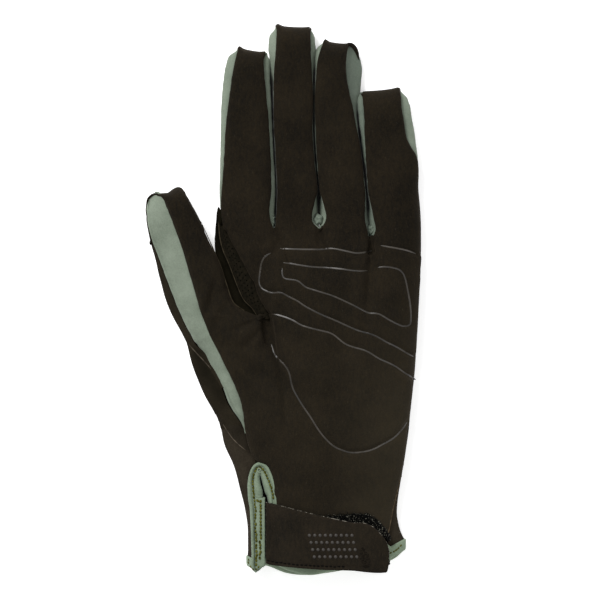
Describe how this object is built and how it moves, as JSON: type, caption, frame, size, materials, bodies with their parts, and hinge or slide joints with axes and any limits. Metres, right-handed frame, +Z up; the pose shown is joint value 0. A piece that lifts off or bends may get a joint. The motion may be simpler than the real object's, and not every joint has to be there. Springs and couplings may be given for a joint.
{
  "type": "cycling glove",
  "caption": "Full-finger cycling glove with a dark suede palm, pale stretch gussets and a hook-and-loop wrist tab, lying empty on its back.",
  "frame": {"origin": "centre of the footprint of the bounding box, on the surface that the glove lies on", "axes": "+Z up, out of the palm; +Y from the cuff to the fingertips; the thumb is at -X"},
  "size_m": [0.1197, 0.2392, 0.0172],
  "materials": {
    "palm_suede": "soft brushed nap, matt",
    "back_stretch": "fine stretch knit, matt",
    "perforated_mesh": "perforated, matt",
    "gusset_stretch": "fine woven stretch, slight sheen",
    "binding": "folded tape, stitched",
    "hook_and_loop": "fuzzy nylon"
  },
  "bodies": {
    "root": {"palm_panel": "palm_suede", "back_panel": "back_stretch", "back_cuff": "back_stretch", "thumb_back": "back_stretch", "thumb_gusset": "gusset_stretch", "index_outer_gusset": "gusset_stretch", "index_middle_gusset": "gusset_stretch", "middle_ring_gusset": "gusset_stretch", "ring_little_gusset": "gusset_stretch", "little_outer_gusset": "gusset_stretch", "crotch_patch": "perforated_mesh", "thumb_web": "back_stretch", "slit_binding": "binding", "hem_binding": "binding", "loop_field": "hook_and_loop", "hook_pad": "hook_and_loop", "closure_tab": "palm_suede", "tab_anchor": "binding"}
  },
  "joints": []
}
